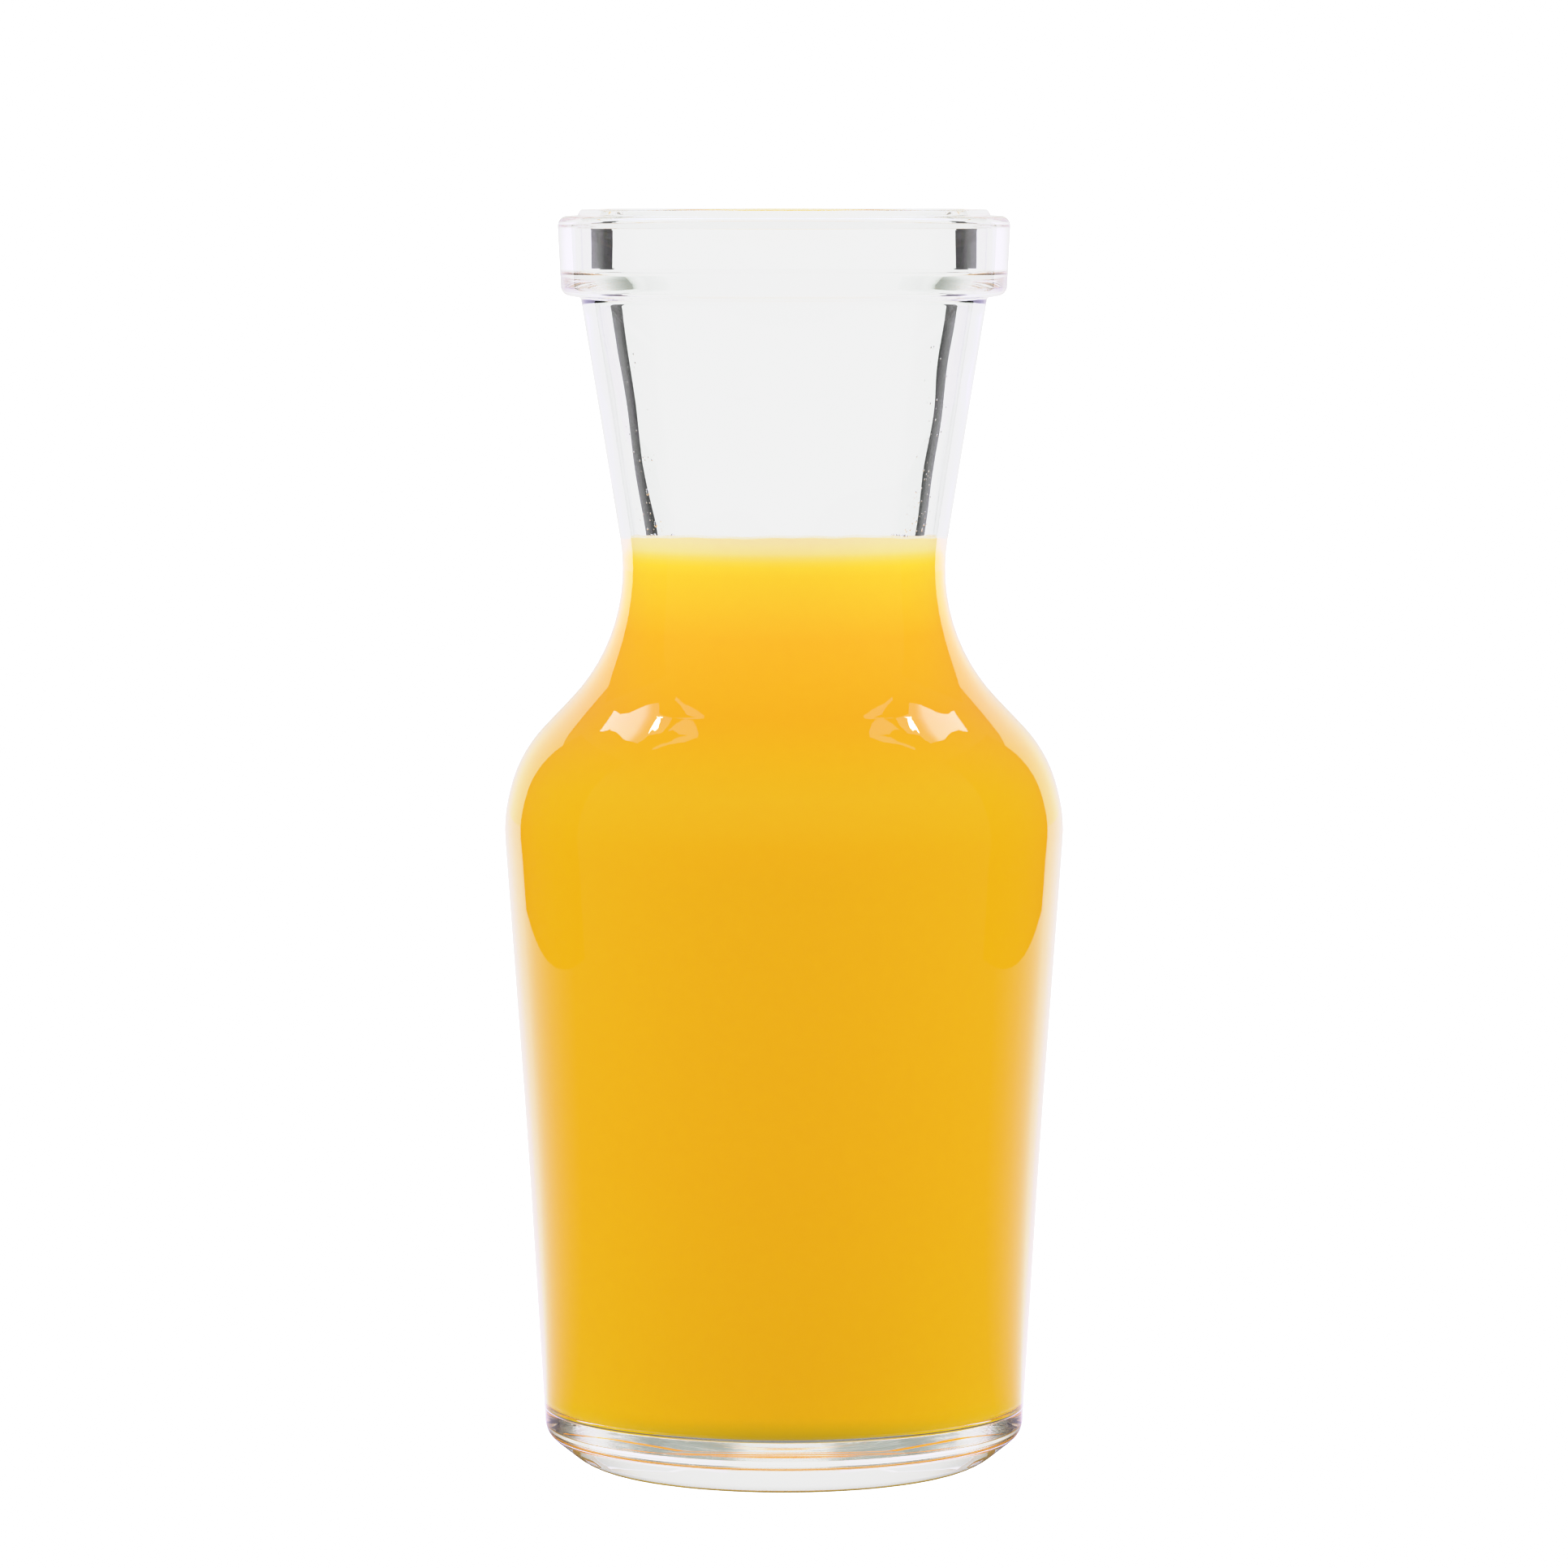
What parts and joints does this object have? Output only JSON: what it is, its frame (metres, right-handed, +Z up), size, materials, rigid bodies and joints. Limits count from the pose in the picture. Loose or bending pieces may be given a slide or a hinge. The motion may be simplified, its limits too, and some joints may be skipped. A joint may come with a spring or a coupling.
{
  "type": "open glass carafe of orange juice",
  "caption": "Clear glass carafe with a thick collar, tapering neck and round shoulder, filled to the waist with orange juice.",
  "frame": {"origin": "centre of the foot, on the surface that the carafe stands on", "axes": "+Z up along the axis of the turned glass, -Y towards the side that the picture shows"},
  "size_m": [0.0794, 0.0792, 0.1792],
  "materials": {
    "clear_glass": "smooth clear soda-lime glass, thick at the foot and collar",
    "orange_juice": "opaque cloudy orange juice with a wet surface"
  },
  "bodies": {
    "root": {"glass_carafe": "clear_glass", "orange_juice": "orange_juice"}
  },
  "joints": []
}
